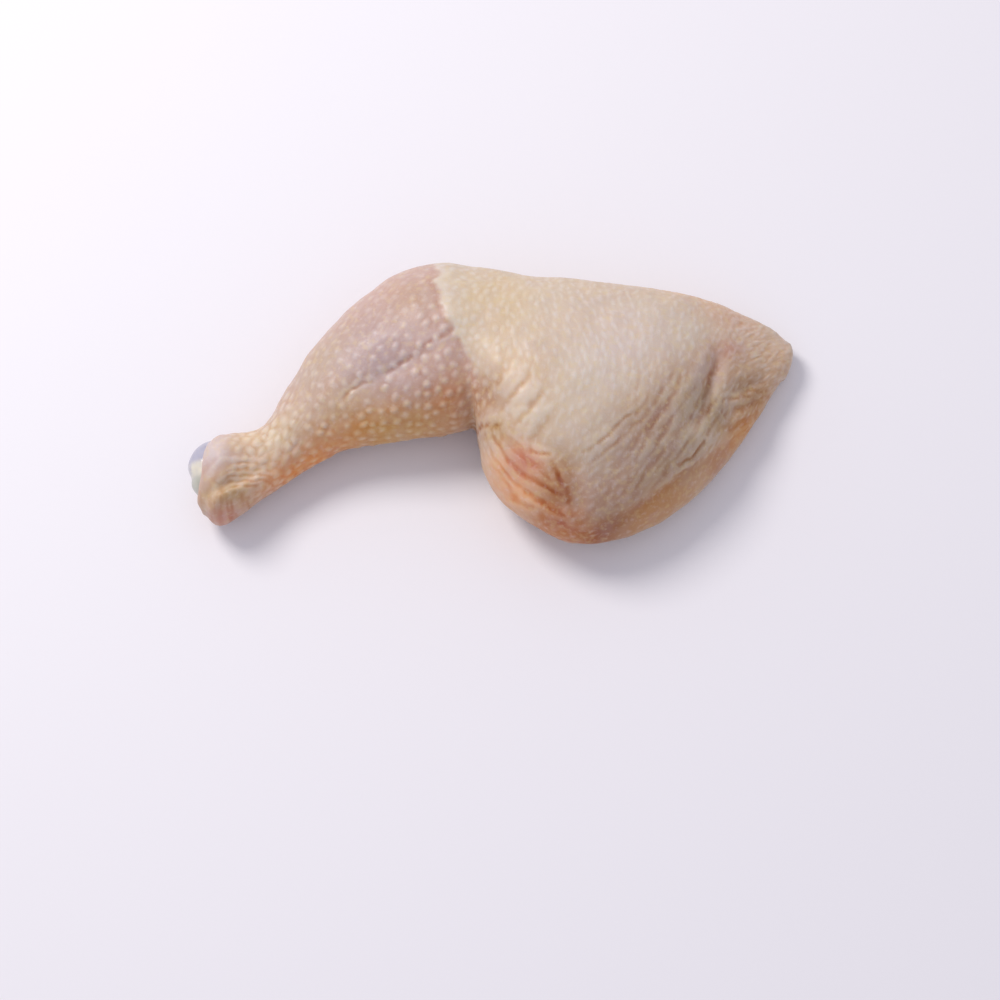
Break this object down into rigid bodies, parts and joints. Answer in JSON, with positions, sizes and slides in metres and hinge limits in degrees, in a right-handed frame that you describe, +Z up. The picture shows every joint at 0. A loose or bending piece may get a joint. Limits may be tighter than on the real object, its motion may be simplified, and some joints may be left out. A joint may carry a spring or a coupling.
{
  "type": "raw chicken leg",
  "caption": "Raw chicken leg with thigh and drumstick in one piece, skin on, knee bent, lying on its flat cut side, gristle cap showing at the hock.",
  "frame": {"origin": "centre of the bounding box in plan, on the surface that the leg lies on", "axes": "+Z up, away from the cut side; +X from the hock towards the hip end of the thigh; +Y towards the outside of the bent knee"},
  "size_m": [0.211, 0.0998, 0.0431],
  "materials": {
    "skin": "moist raw poultry skin, cream over fat and pink over muscle",
    "gristle": "smooth wet gristle, bluish white"
  },
  "bodies": {
    "root": {"leg": "skin", "hock_gristle": "gristle"}
  },
  "joints": []
}
